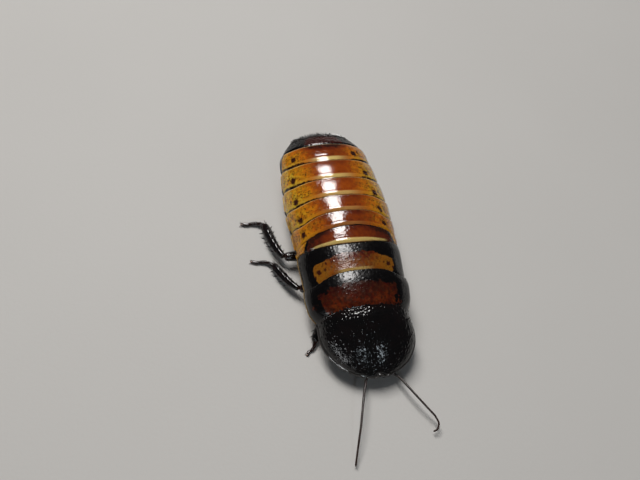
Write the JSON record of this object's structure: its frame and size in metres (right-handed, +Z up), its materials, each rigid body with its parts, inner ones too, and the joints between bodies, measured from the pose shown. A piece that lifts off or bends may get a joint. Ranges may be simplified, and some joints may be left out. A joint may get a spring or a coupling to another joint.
{
  "type": "madagascar hissing cockroach",
  "caption": "Life-size still model of an adult female hissing cockroach standing with tucked legs, amber banded abdomen, black shield and short feelers.",
  "frame": {"origin": "centre of the bounding box in plan, at the level of the soles", "axes": "+Y from head to tail along the body, +Z up from the floor, the animal's right side towards -X"},
  "size_m": [0.039, 0.084, 0.0156],
  "materials": {
    "black_shell": "glossy black cuticle, coarsely pitted",
    "mahogany_shell": "glossy black cuticle with a speckled mahogany centre",
    "amber_shell": "very glossy amber to red-brown cuticle with dark specks and a pale front stripe",
    "brown_underside": "glossy brown cuticle",
    "dark_head": "glossy dark red-brown cuticle",
    "eye": "glossy black, finely faceted",
    "feeler": "satin dark red-brown, ringed",
    "dark_leg": "glossy black-brown cuticle with paler feet"
  },
  "bodies": {
    "root": {"abdomen": "brown_underside", "antenna_left": "feeler", "antenna_right": "feeler", "cercus_left": "dark_leg", "cercus_right": "dark_leg", "coxa_front_left": "dark_leg", "coxa_front_right": "dark_leg", "coxa_hind_left": "dark_leg", "coxa_hind_right": "dark_leg", "coxa_middle_left": "dark_leg", "coxa_middle_right": "dark_leg", "eye_left": "eye", "eye_right": "eye", "femur_front_left": "dark_leg", "femur_front_right": "dark_leg", "femur_hind_left": "dark_leg", "femur_hind_right": "dark_leg", "femur_middle_left": "dark_leg", "femur_middle_right": "dark_leg", "head": "dark_head", "labrum": "dark_head", "mandible_left": "dark_head", "mandible_right": "dark_head", "mesonotum": "mahogany_shell", "metanotum": "amber_shell", "palp_left": "feeler", "palp_right": "feeler", "pronotum": "black_shell", "subgenital_plate": "brown_underside", "supra_anal_plate": "black_shell", "tarsus_front_left": "dark_leg", "tarsus_front_right": "dark_leg", "tarsus_hind_left": "dark_leg", "tarsus_hind_right": "dark_leg", "tarsus_middle_left": "dark_leg", "tarsus_middle_right": "dark_leg", "tergite_1": "amber_shell", "tergite_2": "amber_shell", "tergite_3": "amber_shell", "tergite_4": "amber_shell", "tergite_5": "amber_shell", "tergite_6": "amber_shell", "tergite_7": "black_shell", "thorax": "brown_underside", "tibia_front_left": "dark_leg", "tibia_front_right": "dark_leg", "tibia_hind_left": "dark_leg", "tibia_hind_right": "dark_leg", "tibia_middle_left": "dark_leg", "tibia_middle_right": "dark_leg"}
  },
  "joints": []
}
